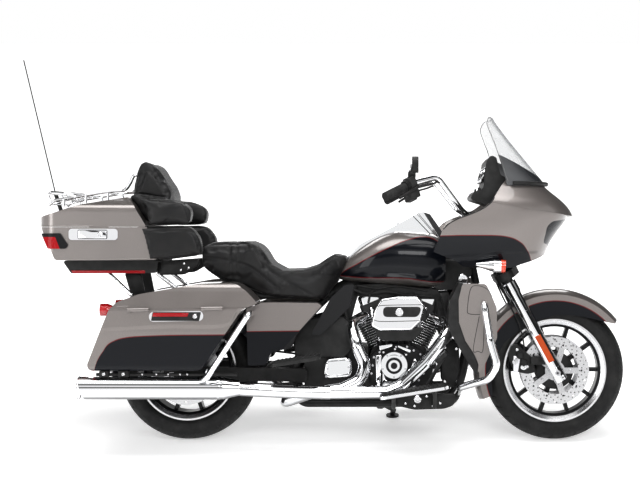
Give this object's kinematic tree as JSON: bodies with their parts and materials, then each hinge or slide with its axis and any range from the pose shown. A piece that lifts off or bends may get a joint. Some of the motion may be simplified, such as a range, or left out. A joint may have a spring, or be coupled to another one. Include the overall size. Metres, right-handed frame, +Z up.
{
  "type": "touring cruiser motorcycle",
  "caption": "Touring motorcycle with a frame-mounted fairing, air-cooled V engine, hard panniers, top case and rack, leaning on its side stand",
  "frame": {"origin": "bottom centre of the whole machine's box, on the floor", "axes": "+X forward along the machine, +Y to its left, +Z up; the machine leans to its left on the side stand"},
  "size_m": [2.7106, 0.9568, 1.6626],
  "materials": {
    "paint_silver": "two-tone paint, warm silver metallic above",
    "paint_black": "gloss black with a blue tint",
    "chrome": "polished",
    "black_metal": "satin black",
    "satin_alloy": "satin",
    "steel": "brushed",
    "black_plastic": "matt",
    "rubber": "matt",
    "tyre": "matt with tread",
    "leather": "stitched, soft sheen",
    "clear_shield": "clear, grey at its foot",
    "lamp_glass": "clear lens over dark housings",
    "red_lens": "red lens",
    "amber_lens": "clear lamp with chrome body"
  },
  "bodies": {
    "chassis": {"frame_backbone": "black_metal", "frame_cradle": "black_metal", "frame_rear": "black_metal", "swingarm": "black_metal", "rear_shocks": "black_metal", "engine_case": "black_metal", "primary_cover": "chrome", "cylinders": "black_metal", "air_cleaner": "chrome", "engine_covers": "chrome", "drive_belt": "rubber", "mufflers": "chrome", "exhaust_pipes": "chrome", "engine_guard": "chrome", "foot_gear": "black_metal", "saddlebag_left": "paint_silver", "saddlebag_right": "paint_silver", "bag_guards": "chrome", "top_case": "paint_silver", "case_base": "black_plastic", "case_lamps": "red_lens", "bezels_and_latch": "chrome", "speaker_pods": "leather", "rear_fender": "paint_black", "fuel_tank": "paint_black", "console": "chrome", "side_covers": "paint_silver", "pillion_footboards": "black_metal", "seat": "leather", "dash": "black_plastic", "windshield": "clear_shield", "fairing": "paint_silver", "headlamp_lenses": "lamp_glass", "headlamp_housings": "black_plastic", "turn_lamps": "amber_lens", "plate_bracket": "black_metal", "lower_fairings": "paint_silver", "radiator_shrouds": "black_plastic"},
    "fork": {"front_axle": "steel", "handlebar": "chrome", "fork_legs": "chrome", "fork_yokes": "black_metal", "grips": "rubber", "hand_controls": "chrome", "front_calipers": "black_metal", "front_fender": "paint_silver"},
    "front_wheel": {"front_tyre": "tyre", "front_rim": "satin_alloy", "front_discs": "steel"},
    "rear_wheel": {"rear_tyre": "tyre", "rear_rim": "satin_alloy", "rear_disc_and_pulley": "steel"},
    "side_stand": {"side_stand": "black_metal"},
    "top_case_lid": {"top_case_lid": "paint_silver", "luggage_rack": "chrome", "antenna": "black_metal", "backrest": "leather"},
    "bag_lid_left": {"bag_lid_left": "paint_silver"},
    "bag_lid_right": {"bag_lid_right": "paint_silver"},
    "fuel_door": {"fuel_door": "chrome"}
  },
  "joints": [
    {"name": "steering", "type": "hinge", "parent": "chassis", "child": "fork", "pos_m": [0.80801, 0.00167, 0.82338], "axis": [-0.4384, 0.1561, 0.8851], "range_deg": [-28, 28]},
    {"name": "front_wheel_spin", "type": "hinge", "parent": "fork", "child": "front_wheel", "pos_m": [1.04527, -0.0895, 0.30635], "axis": [0, 0.9848, -0.1736], "continuous": true},
    {"name": "rear_wheel_spin", "type": "hinge", "parent": "chassis", "child": "rear_wheel", "pos_m": [-0.57974, -0.08958, 0.3059], "axis": [0, 0.9848, -0.1736], "continuous": true},
    {"name": "side_stand_pivot", "type": "hinge", "parent": "chassis", "child": "side_stand", "pos_m": [0.27026, 0.01851, 0.11266], "axis": [0, 0.6428, 0.766], "range_deg": [0, 100]},
    {"name": "top_case_lid_hinge", "type": "hinge", "parent": "chassis", "child": "top_case_lid", "pos_m": [-0.93473, 0.28135, 0.88576], "axis": [-1, 0, 0], "range_deg": [0, 85]},
    {"name": "bag_lid_left_hinge", "type": "hinge", "parent": "chassis", "child": "bag_lid_left", "pos_m": [-0.58474, 0.30242, 0.53301], "axis": [-0.9998, -0.0034, -0.0191], "range_deg": [0, 85]},
    {"name": "bag_lid_right_hinge", "type": "hinge", "parent": "chassis", "child": "bag_lid_right", "pos_m": [-0.58474, -0.38025, 0.65339], "axis": [0.9998, 0.0034, 0.0191], "range_deg": [0, 85]},
    {"name": "fuel_door_hinge", "type": "hinge", "parent": "chassis", "child": "fuel_door", "pos_m": [0.35026, 0.02389, 0.94943], "axis": [0, 0.9848, -0.1736], "range_deg": [0, 80]}
  ]
}
